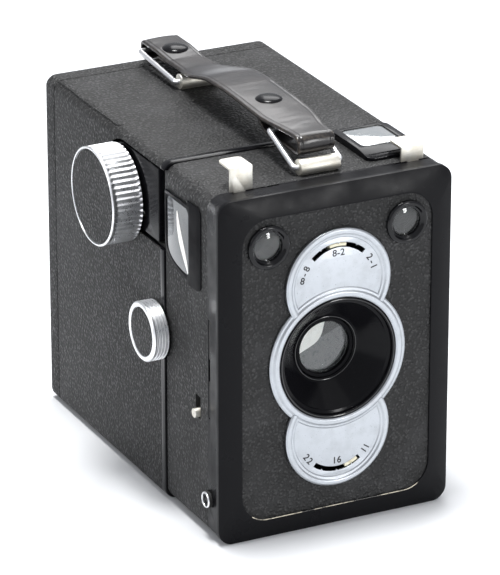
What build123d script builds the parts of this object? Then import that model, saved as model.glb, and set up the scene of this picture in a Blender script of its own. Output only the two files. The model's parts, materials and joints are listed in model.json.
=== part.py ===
"""Box camera for 6 x 9 cm pictures on 120 roll film, as separate pieces.

Frame while modelling (millimetres): X is to the right facing the lens, +Y runs from the front to
the back, +Z is up. The bezel's front edge is Y = 0 and the camera stands on Z = 0. On export
everything moves so that the mouth of the tripod socket in the base is the origin.
"""
import os
from math import atan2, cos, degrees, hypot, radians, sin, tan

from build123d import *

# ---------------------------------------------------------------- driving dimensions
WIDTH = 80.0                # over the shell's covering
HEIGHT = 114.0
DEPTH = 128.0               # bezel edge to the back covering
SEAM_Y = 38.0               # rear edge of the front section
TRIPOD_Y = 20.0             # base tripod socket, behind the bezel edge
COVER = 0.5                 # thickness of the leather covering
FRONT_SETBACK = 0.5         # the front section is this much smaller all round than the shell
FRONT_WALL = 1.5
SHELL_WALL = 1.0
TONGUE_LENGTH = 10.0
TONGUE_GAP = 0.3            # between the tongue and the shell's inside
LENS_Z = 57.0
LOBE_OFFSET = 25.0          # dial centres above and below the lens axis
WINDOW_X, WINDOW_Z = 23.7, 97.8
FINDER_Y0, FINDER_Y1 = 12.6, 37.2
TOP_GLASS_W, SIDE_GLASS_W = 14.0, 22.0
SIDE_SWEEP = (7.0, 14.5)    # half axes of the curve at the side finder's low rear corner
TAB_Y, TAB_T = 7.6, 0.8     # front face and thickness of the two setting tabs
SPOOL_Y = 68.0
SPOOL_OFFSET = 37.7         # spool axes above and below the lens axis
SPOOL_LENGTH = 65.7
SPOOL_FLANGE_R = 12.2
FILM_Y = 118.2
PICTURE_W, PICTURE_H = 56.0, 84.0
WINDER_R = 16.0
WINDER_H = 10.5
WINDER_PULL = 7.0
LOCK_Y = 43.5
LOCK_R = 9.75
LOCK_PULL = 2.6
LOCK_BOLT_R = 2.2
LOCK_BUSH_R = 4.8
APERTURE_STEP = 24.0        # degrees of disc between stops
APERTURE_TRAVEL = 11.0      # travel of the tab over all the stops
APERTURES = (5.0, 3.5, 2.5)     # hole radii, from the widest stop
DISTANCE_STEP = 28.0
DISTANCE_TRAVEL = 4.4       # travel of the tab each way from its middle
RUNNING = 0.06              # radial clearance of running fits
STUD_R = 1.2
PANEL_W, PANEL_H, PANEL_R = 66.4, 101.4, 9.5
RELEASE_X, RELEASE_Y, RELEASE_Z = -16.0, 15.5, 39.5
BLADE_X, BLADE_Z = 16.0, 36.0
WIRE_R = 0.9
LOOP_WIDTH = 16.0           # between the centre lines of a loop's arms
LOOP_LENGTH_FRONT, LOOP_LENGTH_REAR = 18.8, 27.0
LOOP_TILT_FRONT, LOOP_TILT_REAR = 20.5, 4.4
BRACKET_FRONT = (12.5, 116.0)
BRACKET_REAR = (97.0, 116.5)
BRACKET_R = 2.5
STRAP_THICK = 1.2
RED_X, RED_R = 20.0, 4.5

# ---------------------------------------------------------------- sizes worked out from them
SPOOL_Z = LENS_Z + SPOOL_OFFSET
DISTANCE_Z = LENS_Z + LOBE_OFFSET
APERTURE_Z = LENS_Z - LOBE_OFFSET
FRONT_W, FRONT_H = WIDTH - 2 * FRONT_SETBACK, HEIGHT - 2 * FRONT_SETBACK
HOUSING_W, HOUSING_H = FRONT_W - 2 * COVER, FRONT_H - 2 * COVER
HOUSING_IN_X = HOUSING_W / 2 - FRONT_WALL
SHELL_W, SHELL_H = WIDTH - 2 * COVER, HEIGHT - 2 * COVER
SHELL_IN_W, SHELL_IN_H = SHELL_W - 2 * SHELL_WALL, SHELL_H - 2 * SHELL_WALL
TONGUE_W, TONGUE_H = SHELL_IN_W - 2 * TONGUE_GAP, SHELL_IN_H - 2 * TONGUE_GAP
TONGUE_WALL = 1.3
SHELL_Y = SEAM_Y + 0.5
SIDE = -WIDTH / 2           # the winding side's outer surface
APERTURE_PIN_H = APERTURE_TRAVEL / 2 / tan(radians(APERTURE_STEP))
DISTANCE_PIN_H = DISTANCE_TRAVEL / tan(radians(DISTANCE_STEP))
MIDDLE_Z = HEIGHT / 2
CHASSIS_X = 34.8            # inner faces of the chassis plates
CHASSIS_T = 1.0
PLATE_Y = 20.0              # front of the mechanism plate
PLATE_T = 1.2


# ---------------------------------------------------------------- helpers
def box(x0, x1, y0, y1, z0, z1):
    return Pos((x0 + x1) / 2, (y0 + y1) / 2, (z0 + z1) / 2) * Box(x1 - x0, y1 - y0, z1 - z0)


def cyl_x(r, x0, x1, y, z):
    return Pos((x0 + x1) / 2, y, z) * Rot(0, 90, 0) * Cylinder(r, x1 - x0)


def cyl_y(r, y0, y1, x, z):
    return Pos(x, (y0 + y1) / 2, z) * Rot(90, 0, 0) * Cylinder(r, y1 - y0)


def cyl_z(r, z0, z1, x, y):
    return Pos(x, y, (z0 + z1) / 2) * Cylinder(r, z1 - z0)


def prism_y(sketch, y0, y1):
    """Extrude a sketch whose axes are X and Z from y0 to y1."""
    plane = Plane(origin=(0, y1, 0), x_dir=(1, 0, 0), z_dir=(0, -1, 0))
    return extrude(plane * sketch, amount=y1 - y0)


def prism_x(sketch, x0, x1):
    """Extrude a sketch whose axes are Y and Z from x0 to x1."""
    plane = Plane(origin=(x0, 0, 0), x_dir=(0, 1, 0), z_dir=(1, 0, 0))
    return extrude(plane * sketch, amount=x1 - x0)


def rounded(w, h, r, y0, y1):
    """A rounded block about the camera's middle, from y0 to y1."""
    return prism_y(Pos(0, MIDDLE_Z) * RectangleRounded(w, h, r), y0, y1)


def turned_y(points, x=0.0, z=0.0):
    """Revolve (radius, y) points about a line along Y through (x, z)."""
    profile = make_face(Plane.XY * Polyline(*points, close=True))
    return Pos(x, 0, z) * revolve(profile, Axis.Y)


def turned_x(points, y, z):
    """Revolve (x, radius) points about a line along X through (y, z)."""
    profile = make_face(Plane.XY * Polyline(*points, close=True))
    return Pos(0, y, z) * revolve(profile, Axis.X)


def polar(radius, angle, cx=0.0, cz=0.0):
    """A point at an angle in degrees, clockwise from straight up as seen from the front."""
    return (cx + radius * sin(radians(angle)), cz + radius * cos(radians(angle)))


def arc_slot(cz, radius, half_width, middle, half_angle):
    """An arc-shaped slot sketch about (0, cz); angles are clockwise from up."""
    a0, a1 = middle - half_angle, middle + half_angle
    outer, inner = radius + half_width, radius - half_width
    edges = [
        ThreePointArc(polar(outer, a0, 0, cz), polar(outer, middle, 0, cz), polar(outer, a1, 0, cz)),
        Line(polar(outer, a1, 0, cz), polar(inner, a1, 0, cz)),
        ThreePointArc(polar(inner, a1, 0, cz), polar(inner, middle, 0, cz), polar(inner, a0, 0, cz)),
        Line(polar(inner, a0, 0, cz), polar(outer, a0, 0, cz)),
    ]
    return make_face(edges)


def sector(cz, radius, a0, a1):
    """A sector sketch about (0, cz) between two angles clockwise from up."""
    middle = (a0 + a1) / 2
    edges = [
        Line((0, cz), polar(radius, a0, 0, cz)),
        ThreePointArc(polar(radius, a0, 0, cz), polar(radius, middle, 0, cz), polar(radius, a1, 0, cz)),
        Line(polar(radius, a1, 0, cz), (0, cz)),
    ]
    return make_face(edges)


def coil(radius, wire, length, turns):
    """A round-wire coil along +Z from the origin."""
    path = Helix(pitch=length / turns, height=length, radius=radius)
    section = Plane(origin=path @ 0, z_dir=path % 0) * Circle(wire)
    return sweep(section, path=path)


# ---------------------------------------------------------------- front section
DIALS = ((DISTANCE_Z, 12.5, 0, 44), (APERTURE_Z, 12.5, 180, 38))    # centre, radius, middle, half


def dial_slots(extra, more_angle, y0, y1):
    slots = [prism_y(arc_slot(cz, r, 0.75 + extra, mid, half + more_angle), y0, y1)
             for cz, r, mid, half in DIALS]
    return slots[0] + slots[1]


def front_openings(y0, y1, hood_r, window_r):
    holes = cyl_y(hood_r, y0, y1, 0, LENS_Z)
    for side in (-1, 1):
        holes += cyl_y(window_r, y0, y1, side * WINDOW_X, WINDOW_Z)
    return holes + dial_slots(0.8, 4, y0, y1)


def front_bezel():
    edge = Plane(origin=(0, 0, MIDDLE_Z), x_dir=(1, 0, 0), z_dir=(0, -1, 0))
    bevel = loft([edge * RectangleRounded(WIDTH, HEIGHT, 5.0),
                  edge.offset(1.6) * RectangleRounded(PANEL_W, PANEL_H, PANEL_R)])
    body = bevel + rounded(WIDTH, HEIGHT, 5.0, 0, 1.9) + rounded(FRONT_W + 0.2, FRONT_H + 0.2, 4.6, 1.9, 8.5)
    body -= rounded(HOUSING_W, HOUSING_H, 4.0, 0.4, 8.5)
    body -= rounded(PANEL_W - 1.2, PANEL_H - 1.2, PANEL_R - 0.6, -1.6, -0.6)
    body -= front_openings(-2, 1, 20.5, 7.0)
    body -= box(-WIDTH / 2, -30, 6.7, 7.9, LENS_Z - 16.5, LENS_Z + 16.5)
    return body - flash_clearance() - top_slots()


def flash_clearance():
    return cyl_x(2.75, -42, -36, 8.0, 13.0)


def front_leather():
    sheet = rounded(PANEL_W - 1.2, PANEL_H - 1.2, PANEL_R - 0.6, -1.1, -0.6)
    return sheet - front_openings(-2, 1, 20.5, 7.0)


def top_slots():
    """Slots in the top for the two setting tabs and the front strap bracket."""
    slot_y0, slot_y1 = TAB_Y - 0.2, TAB_Y + TAB_T + 0.2
    left = box(-31.4, -26.6 + APERTURE_TRAVEL, slot_y0, slot_y1, 108, 120)
    right = box(28.1 - DISTANCE_TRAVEL, 32.9 + DISTANCE_TRAVEL, slot_y0, slot_y1, 108, 120)
    y, _ = BRACKET_FRONT
    return left + right + box(-6, 6, y - 0.6, y + 0.6, 108, 120)


def side_holes(x0, x1):
    """Openings in the winding side: release slot, slide slot and flash socket."""
    holes = box(x0, x1, RELEASE_Y - 1.7, RELEASE_Y + 1.7, RELEASE_Z - 1.8, RELEASE_Z + 5.6)
    holes += box(x0, x1, 6.7, 7.9, LENS_Z - 16.5, LENS_Z + 16.5)
    return holes + flash_clearance()


def finder_cuts():
    """Light openings for the side finder and the top finder."""
    side = extrude(finder_plan(SIDE_GLASS_W, SIDE_SWEEP), amount=6)
    top = extrude(finder_plan(TOP_GLASS_W, None), amount=8)
    return on_side(Pos(0, 0, -3.5) * side) + on_top(Pos(0, 0, -5.0) * top)


def socket_cuts():
    return cyl_z(5.5, -1, 8, 0, TRIPOD_Y) + cyl_x(5.0, 33, 42, 14.0, LENS_Z)


def front_housing():
    body = rounded(HOUSING_W, HOUSING_H, 4.0, 0.4, SEAM_Y)
    body -= rounded(HOUSING_W - 2 * FRONT_WALL, HOUSING_H - 2 * FRONT_WALL, 2.0, 0.4, SEAM_Y)
    tongue = rounded(TONGUE_W, TONGUE_H, 2.2, SEAM_Y - 2, SEAM_Y + TONGUE_LENGTH)
    tongue -= rounded(TONGUE_W - 2 * TONGUE_WALL, TONGUE_H - 2 * TONGUE_WALL, 1.5,
                      SEAM_Y - 2, SEAM_Y + TONGUE_LENGTH)
    body += tongue
    body -= box(-42, -33, 41.0, 50, 85.5, 111.0)
    body -= cyl_x(LOCK_BOLT_R + 0.3, -42, -33, LOCK_Y, LENS_Z)
    return body - top_slots() - side_holes(-42, -36) - finder_cuts() - socket_cuts()


def housing_leather():
    body = rounded(FRONT_W, FRONT_H, 4.4, 8.6, SEAM_Y) - rounded(HOUSING_W, HOUSING_H, 4.0, 8.6, SEAM_Y)
    return body - top_slots() - side_holes(-42, -38.5) - finder_cuts() - socket_cuts()


def plate_outline(inset=0.0):
    shape = Pos(0, LENS_Z) * Circle(23.5 - inset)
    for cz in (DISTANCE_Z, APERTURE_Z):
        shape += Pos(0, cz) * Circle(18.0 - inset)
    return shape


def scale_plate():
    base = prism_y(plate_outline(), -1.8, -1.1)
    fields = Pos(0, DISTANCE_Z) * Circle(15.0) + Pos(0, APERTURE_Z) * Circle(15.0)
    fields -= Pos(0, LENS_Z) * Circle(23.5)
    rim = prism_y(plate_outline(0.3) - fields, -2.5, -1.8)
    return base + rim - cyl_y(20.1, -4, 0, 0, LENS_Z) - dial_slots(0, 0, -4, 0)


def lens_hood():
    return turned_y([(20.0, -2.3), (20.0, 0.9), (11.6, 9.0), (10.0, 9.0), (10.0, 7.4),
                     (18.6, -1.2), (18.9, -2.3)], 0, LENS_Z)


def lens_cell():
    return turned_y([(8.1, 7.0), (9.9, 7.0), (9.9, 9.1), (12.0, 9.1), (12.0, 10.6), (8.7, 10.6),
                     (8.7, 7.6), (8.1, 7.6)], 0, LENS_Z)


def front_lens():
    curve = 24.0
    ball = Pos(0, 7.8 + curve, 0) * Sphere(curve)
    return Pos(0, 0, LENS_Z) * (cyl_y(8.65, 7.6, 10.4, 0, 0) & ball)


def finder_rings():
    profile = [(7.0, -2.0), (6.6, -2.4), (5.4, -2.4), (4.7, -1.4), (4.7, 2.0), (7.0, 2.0)]
    return [turned_y(profile, side * WINDOW_X, WINDOW_Z) for side in (-1, 1)]


def finder_windows():
    curve = 16.0
    lens = cyl_y(4.65, -1.3, 0.9, 0, 0) & (Pos(0, curve - 1.2, 0) * Sphere(curve))
    return [Pos(side * WINDOW_X, 0, WINDOW_Z) * lens for side in (-1, 1)]


def finder_mirrors():
    half = 10.4
    left = Pos(-24.5, 28.0, 97.0) * Rot(0, 0, -45) * Box(2 * half, 1.2, 25.4)
    right = Pos(25.0, 28.0, 98.0) * Rot(45, 0, 0) * Box(20.5, 2 * half, 1.2)
    return [left, right]


def finder_housings():
    y0, y1 = 18.3, 36.8
    left = [box(-36.5, -14.5, y0, y1, z, z + 0.8) for z in (83.5, 109.7)]
    right = [box(x, x + 0.8, y0, y1, 84.0, 110.6) for x in (13.9, 35.3)]
    return left + right


def finder_plan(glass_w, sweep, trim=0.0):
    """Plan of a finder opening. sweep holds the half axes of the ellipse that rounds one rear corner."""
    y0, y1 = FINDER_Y0 + 7.9 + trim, FINDER_Y1 - 1.2 - trim
    half = glass_w / 2 - trim
    plan = Pos(0, (y0 + y1) / 2) * RectangleRounded(2 * half, y1 - y0, 2.0)
    if sweep is None:
        return plan
    a, b = sweep
    corner = Pos(-half + a / 2, y1 - b / 2) * Rectangle(a, b)
    return plan - (corner - Pos(-half + a, y1 - b) * Ellipse(a, b))


def finder_frame(lift, outer_w, glass_w, sweep=None):
    """A raised finder frame lying on z = 0, centred on x = 0, its hood towards the front."""
    length = FINDER_Y1 - FINDER_Y0
    y_glass = FINDER_Y0 + 7.9
    side_view = make_face(Polyline((FINDER_Y0, 0), (FINDER_Y0, lift * 0.45), (FINDER_Y0 + 3.0, lift * 0.8),
                                   (y_glass - 1.0, lift), (FINDER_Y1, lift), (FINDER_Y1, 0), close=True))
    frame = prism_x(side_view, -outer_w / 2, outer_w / 2)
    plan = Pos(0, FINDER_Y0 + length / 2) * RectangleRounded(outer_w, length, 2.5)
    if sweep is not None:
        a, b = sweep
        rim = 1.2
        corner_y, half = FINDER_Y1 - rim - b, glass_w / 2
        corner = Pos(-half + a - 10, corner_y + 10) * Rectangle(20, 20)
        plan -= corner - Pos(-half + a, corner_y) * Ellipse(a + rim, b + rim)
        plan -= Pos(half + rim + 5, corner_y + 10) * Rectangle(10, 20)
    frame &= extrude(plan, amount=lift + 1)
    return frame - extrude(finder_plan(glass_w, sweep), amount=lift + 1)


def finder_glass(lift, glass_w, sweep=None):
    middle = (FINDER_Y0 + 7.9 + FINDER_Y1 - 1.2) / 2
    curve = 26.0
    ball = Pos(0, middle, lift - curve) * Sphere(curve)
    return Pos(0, 0, -2.0) * extrude(finder_plan(glass_w, sweep, 0.05), amount=lift + 4) & ball


def on_top(shape):
    return Pos(27.0, 0, HEIGHT - FRONT_SETBACK) * shape


def on_side(shape):
    return Pos(SIDE + FRONT_SETBACK, 0, 94.0) * Rot(0, -90, 0) * shape


def finder_frame_top():
    return on_top(finder_frame(2.2, 19.0, TOP_GLASS_W))


def finder_frame_side():
    return on_side(finder_frame(0.7, 27.5, SIDE_GLASS_W, SIDE_SWEEP))


def finder_glasses():
    top = on_top(finder_glass(2.6, TOP_GLASS_W) & box(-10, 10, 0, 60, -2.0, 5))
    side = on_side(finder_glass(1.3, SIDE_GLASS_W, SIDE_SWEEP) & box(-14, 14, 0, 60, -2.0, 5))
    return [top, side]


def shutter_plate():
    x = HOUSING_IN_X
    plate = box(-x, x, PLATE_Y, PLATE_Y + PLATE_T, 9.0, 83.0)
    plate += box(-13.5, 13.5, PLATE_Y, PLATE_Y + PLATE_T, 80.0, 108.0)
    plate -= cyl_y(7.0, PLATE_Y - 1, PLATE_Y + 3, 0, LENS_Z)
    peg = cyl_y(0.9, 15.0, PLATE_Y, -12.5, 50.6)
    return plate + peg


def fixed_pins():
    """Riveted pins: the pivots of the setting discs, lever and blade, and the spool carriers."""
    studs = [cyl_y(STUD_R, y0, PLATE_Y, x, z) for x, z, y0 in
             ((0, DISTANCE_Z, 2.4), (0, APERTURE_Z, 2.4), (RELEASE_X, RELEASE_Z, 14.2))]
    studs.append(cyl_y(STUD_R, PLATE_Y + PLATE_T, 23.0, BLADE_X, BLADE_Z))
    low = LENS_Z - SPOOL_OFFSET
    inner, outer = SPOOL_LENGTH / 2 - 1.8, CHASSIS_X
    studs += [cyl_x(2.5, inner, outer, SPOOL_Y, SPOOL_Z), cyl_x(2.5, inner, outer, SPOOL_Y, low),
              cyl_x(2.5, -outer, -inner, SPOOL_Y, low)]
    return studs


def flash_socket():
    profile = [(-41.0, 1.6), (-41.0, 2.3), (-40.6, 2.75), (-36.4, 2.75), (-36.4, 1.6)]
    return turned_x(profile, 8.0, 13.0)


def flash_contact():
    return cyl_x(0.7, -40.4, -36.4, 8.0, 13.0) + cyl_x(1.6, -37.6, -36.4, 8.0, 13.0)


def tripod_sockets():
    base = cyl_z(5.5, 0, 7.0, 0, TRIPOD_Y) - cyl_z(2.55, 0, 6.0, 0, TRIPOD_Y)
    side = cyl_x(5.0, 33.5, WIDTH / 2, 14.0, LENS_Z) - cyl_x(2.55, 34.5, WIDTH / 2, 14.0, LENS_Z)
    return [base, side]


def strap_bracket(place, stem_z):
    y, z = place
    tube = cyl_x(BRACKET_R, -6.75, 6.75, y, z)
    stem = box(-6, 6, y - 0.6, y + 0.6, stem_z, z)
    return tube + stem - cyl_x(WIRE_R + RUNNING, -8, 8, y, z)


def strap_bracket_front():
    return strap_bracket(BRACKET_FRONT, 110.8)


# ---------------------------------------------------------------- settings behind the front
POINTER_HALF = {DISTANCE_Z: 13.0, APERTURE_Z: 10.5}


def pointer(cz, angle, sleeve_end):
    """Arm, slot tip and sleeve that turn on a dial's stud; angle is clockwise from up."""
    tip = prism_y(arc_slot(cz, 12.5, 0.5, angle, POINTER_HALF[cz]), -1.5, 1.6)
    foot = prism_y(arc_slot(cz, 12.3, 1.3, angle, POINTER_HALF[cz]), 0.8, 1.6)
    arm = prism_y(Pos(0, cz) * Rot(0, 0, -angle) * Pos(0, 6.0) * Rectangle(4.0, 12.0), 0.8, 1.6)
    sleeve = cyl_y(2.4, 0.8, sleeve_end, 0, cz)
    return tip + foot + arm + sleeve - cyl_y(STUD_R + RUNNING, 0.0, 20, 0, cz)


def disc(cz, y0, y1, base_angle, spread, holes, slot_r, slot_angle):
    """A stop or lens disc: hub, sector with holes, and a radial slot for its slide's pin."""
    shape = Pos(0, cz) * Circle(6.0) + sector(cz, LOBE_OFFSET + 6.0, base_angle - spread[0],
                                              base_angle + spread[1])
    tab = Pos(0, cz) * Rot(0, 0, -slot_angle) * Pos(0, slot_r / 2) * Rectangle(6.0, slot_r + 6.0)
    shape += tab
    for radius, angle in holes:
        shape -= Pos(*polar(LOBE_OFFSET, angle, 0, cz)) * Circle(radius)
    slot = Pos(*polar(slot_r, slot_angle, 0, cz)) * Rot(0, 0, 90 - slot_angle) * SlotCenterToCenter(2.4, 2.5)
    return prism_y(shape - slot, y0, y1) - cyl_y(2.4, y0 - 1, y1 + 1, 0, cz)


def aperture_pointer():
    return pointer(APERTURE_Z, 180 - APERTURE_STEP, 13.6)


def aperture_disc():
    holes = [(r, -i * APERTURE_STEP) for i, r in enumerate(APERTURES)]
    pin_r = (APERTURE_PIN_H + hypot(APERTURE_PIN_H, APERTURE_TRAVEL / 2)) / 2
    return disc(APERTURE_Z, 13.0, 13.6, 0, (2 * APERTURE_STEP + 14, 14), holes, pin_r, -APERTURE_STEP)


def tab_top(x0, x1, top):
    """The part of a setting tab above the camera: an upright and a grip turned to the rear."""
    upright = box(x0, x1, TAB_Y, TAB_Y + TAB_T, 113.8, top)
    grip = box(x0, x1, TAB_Y, TAB_Y + 8.8, top - TAB_T, top)
    grip = fillet(grip.edges().filter_by(Axis.Z).group_by(Axis.Y)[-1], 1.8)
    return upright + grip


def aperture_slide():
    body = tab_top(-32.3, -24.6, 121.6) + box(-31.0, -27.0, TAB_Y, TAB_Y + TAB_T, 108.9, 114.0)
    body += box(-31.0, -27.0, TAB_Y, 12.0, 108.9, 110.2)
    pin_z = APERTURE_Z + APERTURE_PIN_H
    arm = Polyline((-31, 110.2), (-11, 110.2), (-11, 92), (-21, 84), (-21, pin_z + 2.6), (-3, pin_z + 2.6),
                   (-3, pin_z - 2.4), (-26, pin_z - 2.4), (-26, 87), (-15.6, 95), (-15.6, 105.8), (-31, 105.8),
                   close=True)
    body += prism_y(make_face(arm), 11.0, 12.0)
    return body + cyl_y(1.0, 11.5, 14.2, -APERTURE_TRAVEL / 2, pin_z)


def distance_pointer():
    return pointer(DISTANCE_Z, 0, 16.2)


def distance_disc():
    holes = [(5.6, 180 + k * DISTANCE_STEP) for k in (-1, 0, 1)]
    pin_r = (DISTANCE_PIN_H + hypot(DISTANCE_PIN_H, DISTANCE_TRAVEL)) / 2
    return disc(DISTANCE_Z, 15.0, 16.2, 180, (DISTANCE_STEP + 14, DISTANCE_STEP + 14), holes, pin_r, 0)


def close_up_lenses():
    """Lenses for the middle and near distances; the hole for far distances stays open."""
    lenses = []
    for k, curve in ((0, 40.0), (-1, 22.0)):
        x, z = polar(LOBE_OFFSET, 180 + k * DISTANCE_STEP, 0, DISTANCE_Z)
        lenses.append(cyl_y(5.6, 15.0, 16.2, x, z) & (Pos(x, 14.9 + curve, z) * Sphere(curve)))
    return lenses


def distance_slide():
    body = tab_top(26.4, 34.1, 118.6) + box(28.5, 32.5, TAB_Y, TAB_Y + TAB_T, 109.3, 114.0)
    body += box(28.5, 32.5, TAB_Y, 17.6, 109.3, 110.5)
    pin_z = DISTANCE_Z + DISTANCE_PIN_H
    arm = Polyline((-2.2, 110.5), (32.5, 110.5), (32.5, 106.2), (2.2, 106.2), (2.2, pin_z - 2.2),
                   (-2.2, pin_z - 2.2), close=True)
    body += prism_y(make_face(arm), 16.8, 17.6)
    return body + cyl_y(1.0, 14.6, 17.2, 0, pin_z)


def release_lever():
    lever = prism_y(Pos(-24.0, RELEASE_Z) * Rectangle(25.6, 4.4) + Pos(RELEASE_X, RELEASE_Z) * Circle(3.4),
                    RELEASE_Y - 0.6, RELEASE_Y + 0.6)
    pin = cyl_x(1.5, -43.2, -36.0, RELEASE_Y, RELEASE_Z)
    return lever + fillet(pin.edges().group_by(Axis.X)[0], 0.5) - cyl_y(STUD_R + RUNNING, 14, 17, RELEASE_X,
                                                                       RELEASE_Z)


def release_spring():
    return Pos(-12.5, RELEASE_Y, RELEASE_Z + 2.5) * coil(1.3, 0.25, 7.4, 6)


def shutter_blade():
    reach = hypot(BLADE_X, LENS_Z - BLADE_Z)
    lean = degrees(atan2(BLADE_X, LENS_Z - BLADE_Z))
    arm = Pos(BLADE_X, BLADE_Z) * Rot(0, 0, lean) * Pos(0, reach / 2) * Rectangle(5.0, reach)
    shape = arm + Pos(BLADE_X, BLADE_Z) * Circle(4.0) + Pos(0, LENS_Z) * Circle(9.0)
    return prism_y(shape - Pos(BLADE_X, BLADE_Z) * Circle(STUD_R + RUNNING), 21.6, 22.2)


def time_slide():
    plate = box(-39.5, -24.0, 6.9, 7.7, LENS_Z - 16.2, LENS_Z + 16.2)
    return plate - box(-40, -38.7, 6, 8, LENS_Z - 4.0, LENS_Z + 3.5)


# ---------------------------------------------------------------- chassis, spools and winder
def light_cone():
    """Cone between the shutter and the film, with the picture mask as its rear flange."""
    def skin(extra, y0, y1):
        near = Plane(origin=(0, 23.6, LENS_Z), x_dir=(1, 0, 0), z_dir=(0, -1, 0))
        far = Plane(origin=(0, FILM_Y - 1.2, LENS_Z), x_dir=(1, 0, 0), z_dir=(0, -1, 0))
        return loft([near.offset(-y0) * Rectangle(14 + extra, 14 + extra),
                     far.offset(-y1) * Rectangle(PICTURE_W + extra, PICTURE_H + extra)])
    cone = skin(1.6, 0, 0)
    flange = box(-CHASSIS_X, CHASSIS_X, FILM_Y - 1.2, FILM_Y - 0.2, LENS_Z - 44.2, LENS_Z + 44.2)
    hollow = skin(0, 0, 0) + box(-PICTURE_W / 2, PICTURE_W / 2, FILM_Y - 1.25, FILM_Y,
                                 LENS_Z - PICTURE_H / 2, LENS_Z + PICTURE_H / 2)
    return cone + flange - hollow


def chassis_side(side):
    outline = Polyline((PLATE_Y + PLATE_T, 24), (39, 24), (39, 5), (FILM_Y, 5), (FILM_Y, 109), (39, 109),
                       (39, 82), (PLATE_Y + PLATE_T, 82), close=True)
    plate = make_face(outline)
    for z in (ROLLER_LOW, ROLLER_HIGH):
        plate -= Pos(ROLLER_Y, z) * Circle(1.0 + RUNNING)
    if side < 0:
        plate -= Pos(SPOOL_Y, SPOOL_Z) * Circle(5.0 + RUNNING)
    x0 = CHASSIS_X if side > 0 else -CHASSIS_X - CHASSIS_T
    return prism_x(plate, x0, x0 + CHASSIS_T)


ROLLER_R = 2.8
ROLLER_Y = FILM_Y - ROLLER_R
ROLLER_LOW, ROLLER_HIGH = LENS_Z - 47.5, LENS_Z + 47.5


def film_roller(z):
    end = CHASSIS_X - 0.6
    return cyl_x(ROLLER_R, -end, end, ROLLER_Y, z) + cyl_x(1.0, -CHASSIS_X - 0.9, CHASSIS_X + 0.9, ROLLER_Y, z)


def takeup_spool():
    half = SPOOL_LENGTH / 2
    body = cyl_x(5.5, -half, half, SPOOL_Y, SPOOL_Z)
    body += cyl_x(SPOOL_FLANGE_R, -half, -half + 1.0, SPOOL_Y, SPOOL_Z)
    body += cyl_x(SPOOL_FLANGE_R, half - 1.0, half, SPOOL_Y, SPOOL_Z)
    body -= box(-half - 1, -half + 2.6, SPOOL_Y - 0.95, SPOOL_Y + 0.95, SPOOL_Z - 3.2, SPOOL_Z + 3.2)
    return body - cyl_x(2.5 + RUNNING, half - 2.2, half + 1, SPOOL_Y, SPOOL_Z)


def winder_plate():
    y0, y1 = LOCK_Y, SPOOL_Y
    shape = Pos((y0 + y1) / 2, 98.25) * Rectangle(y1 - y0, 24.5) + Pos(SPOOL_Y, 98.25) * Circle(12.25)
    shape -= Pos(SPOOL_Y, SPOOL_Z) * Circle(5.0 + RUNNING)
    return prism_x(shape, -39.3, -CHASSIS_X - CHASSIS_T)


def winder_sleeve():
    body = cyl_x(5.0, -39.9, -33.9, SPOOL_Y, SPOOL_Z) + cyl_x(6.5, -34.7, -33.9, SPOOL_Y, SPOOL_Z)
    return body - box(-41, -33, SPOOL_Y - 3, SPOOL_Y + 3, SPOOL_Z - 3, SPOOL_Z + 3)


def winder_knob():
    teeth, high, low = 72, WINDER_R, WINDER_R - 0.45
    rim = [polar(high if i % 2 else low, 180.0 * i / teeth) for i in range(2 * teeth)]
    face = Pos(SPOOL_Y, SPOOL_Z) * make_face(Polyline(*rim, close=True))
    bottom, top = SIDE - 0.5, SIDE - 0.5 - WINDER_H
    body = prism_x(face, top, bottom)
    body -= cyl_x(WINDER_R - 1.7, top + 2.0, bottom, SPOOL_Y, SPOOL_Z)
    body += cyl_x(5.0, top + 1.0, bottom, SPOOL_Y, SPOOL_Z)
    body -= cyl_x(WINDER_R - 0.75, top, top + 0.6, SPOOL_Y, SPOOL_Z)
    body += box(bottom - 1, -33.1, SPOOL_Y - 2.94, SPOOL_Y + 2.94, SPOOL_Z - 2.94, SPOOL_Z + 2.94)
    return body + box(-34, -31.0, SPOOL_Y - 0.7, SPOOL_Y + 0.7, SPOOL_Z - 2.8, SPOOL_Z + 2.8)


def winder_disc():
    top = SIDE - 0.5 - WINDER_H
    return cyl_x(WINDER_R - 0.75, top + 0.1, top + 0.6, SPOOL_Y, SPOOL_Z)


# ---------------------------------------------------------------- rear shell and its fittings
def winder_notch():
    shape = Pos((SEAM_Y + SPOOL_Y) / 2 - 1, 98.25) * Rectangle(SPOOL_Y - SEAM_Y + 2, 26.5)
    shape += Pos(SPOOL_Y, 98.25) * Circle(13.25)
    return prism_x(shape, -42, -37.0)


def shell_cuts():
    y, _ = BRACKET_REAR
    cuts = winder_notch() + cyl_x(LOCK_BUSH_R, -42, -37, LOCK_Y, LENS_Z)
    cuts += cyl_y(RED_R, 125, DEPTH + 1, RED_X, LENS_Z)
    return cuts + box(-6, 6, y - 0.6, y + 0.6, 110, 120)


def rear_shell():
    body = rounded(SHELL_W, SHELL_H, 3.2, SHELL_Y, DEPTH - COVER)
    body += rounded(WIDTH, HEIGHT, 3.6, SHELL_Y, SHELL_Y + 2.8)
    body -= rounded(SHELL_IN_W, SHELL_IN_H, 2.4, SHELL_Y, DEPTH - COVER - SHELL_WALL)
    return body - shell_cuts()


STRIP_Y = 121.5             # seam between the side covering and the back covering


def shell_leather():
    body = rounded(WIDTH, HEIGHT, 3.6, SHELL_Y + 2.8, STRIP_Y - 0.15) - rounded(SHELL_W, SHELL_H, 3.2, 30, DEPTH)
    return body - shell_cuts()


def back_leather():
    body = rounded(WIDTH, HEIGHT, 3.6, STRIP_Y + 0.15, DEPTH)
    body -= rounded(SHELL_W, SHELL_H, 3.2, 30, DEPTH - COVER)
    rear = body.edges().group_by(Axis.Y)[-1]
    return fillet(rear, 0.45) - shell_cuts()


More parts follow.
